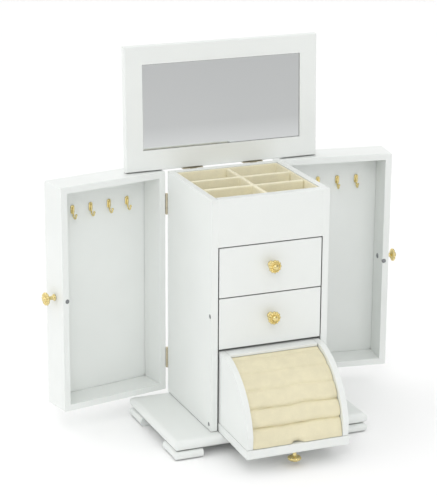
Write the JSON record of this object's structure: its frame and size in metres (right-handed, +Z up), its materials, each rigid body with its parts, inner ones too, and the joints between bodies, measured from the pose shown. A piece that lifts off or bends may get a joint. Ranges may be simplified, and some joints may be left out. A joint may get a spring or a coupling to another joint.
{
  "type": "jewelry box",
  "caption": "Tower jewelry box with a lift-up mirror lid over a divided tray, swing-out necklace doors with hooks, sliding drawers and a tip-out ring drawer.",
  "frame": {"origin": "on the surface the feet stand on, below the centre of the box's bounds as it stands open", "axes": "+Z up; the drawers face -Y; X runs across the front"},
  "size_m": [0.5067, 0.2866, 0.4899],
  "materials": {
    "white_paint": "satin white paint on fibreboard",
    "velvet": "short cream velvet",
    "polished_brass": "polished",
    "hinge_brass": "satin, slightly dull",
    "steel": "satin",
    "mirror": "silvered glass"
  },
  "bodies": {
    "cabinet": {"base_board": "white_paint", "foot_front_left": "white_paint", "foot_back_left": "white_paint", "foot_front_right": "white_paint", "foot_back_right": "white_paint", "left_side_panel": "white_paint", "left_side_magnet": "steel", "right_side_panel": "white_paint", "right_side_magnet": "steel", "back_panel": "white_paint", "top_front_panel": "white_paint", "tray_floor": "white_paint", "upper_drawer_shelf": "white_paint", "lower_drawer_shelf": "white_paint", "left_pivot_screw": "steel", "right_pivot_screw": "steel", "tray_liner": "velvet", "tray_dividers": "velvet", "back_left_hinge_leaf": "hinge_brass", "back_right_hinge_leaf": "hinge_brass", "left_side_upper_hinge_leaf": "hinge_brass", "left_side_lower_hinge_leaf": "hinge_brass", "right_side_upper_hinge_leaf": "hinge_brass", "right_side_lower_hinge_leaf": "hinge_brass"},
    "lid": {"lid_board": "white_paint", "mirror_glass": "mirror", "lid_left_hinge_leaf": "hinge_brass", "lid_right_hinge_leaf": "hinge_brass"},
    "left_door": {"left_door_frame": "white_paint", "left_door_panel": "white_paint", "left_door_magnet": "steel", "left_door_knob": "polished_brass", "left_door_hook_1": "polished_brass", "left_door_hook_2": "polished_brass", "left_door_hook_3": "polished_brass", "left_door_hook_4": "polished_brass", "left_door_upper_hinge_leaf": "hinge_brass", "left_door_lower_hinge_leaf": "hinge_brass"},
    "right_door": {"right_door_frame": "white_paint", "right_door_panel": "white_paint", "right_door_magnet": "steel", "right_door_knob": "polished_brass", "right_door_hook_1": "polished_brass", "right_door_hook_2": "polished_brass", "right_door_hook_3": "polished_brass", "right_door_hook_4": "polished_brass", "right_door_upper_hinge_leaf": "hinge_brass", "right_door_lower_hinge_leaf": "hinge_brass"},
    "upper_drawer": {"upper_drawer_front": "white_paint", "upper_drawer_box": "white_paint", "upper_drawer_knob": "polished_brass"},
    "lower_drawer": {"lower_drawer_front": "white_paint", "lower_drawer_box": "white_paint", "lower_drawer_knob": "polished_brass"},
    "ring_drawer": {"ring_drawer_front": "white_paint", "ring_drawer_left_cheek": "white_paint", "ring_drawer_right_cheek": "white_paint", "ring_drawer_back_board": "white_paint", "ring_cushion": "velvet", "ring_drawer_knob": "polished_brass"}
  },
  "joints": [
    {"name": "lid_hinge", "type": "hinge", "parent": "cabinet", "child": "lid", "pos_m": [0, 0.10235, 0.32556], "axis": [1, 0, 0], "range_deg": [0, 92]},
    {"name": "left_door_hinge", "type": "hinge", "parent": "cabinet", "child": "left_door", "pos_m": [-0.0794, 0.1015, 0], "axis": [0, 0, 1], "range_deg": [-41.2, 78.8]},
    {"name": "right_door_hinge", "type": "hinge", "parent": "cabinet", "child": "right_door", "pos_m": [0.0794, 0.1015, 0], "axis": [0, 0, 1], "range_deg": [-81.4, 38.6]},
    {"name": "ring_drawer_pivot", "type": "hinge", "parent": "cabinet", "child": "ring_drawer", "pos_m": [0, -0.0434, 0.0342], "axis": [1, 0, 0], "range_deg": [-92, 0]},
    {"name": "upper_drawer_slide", "type": "slide", "parent": "cabinet", "child": "upper_drawer", "axis": [0, -1, 0], "range_m": [0, 0.11]},
    {"name": "lower_drawer_slide", "type": "slide", "parent": "cabinet", "child": "lower_drawer", "axis": [0, -1, 0], "range_m": [0, 0.11]}
  ]
}
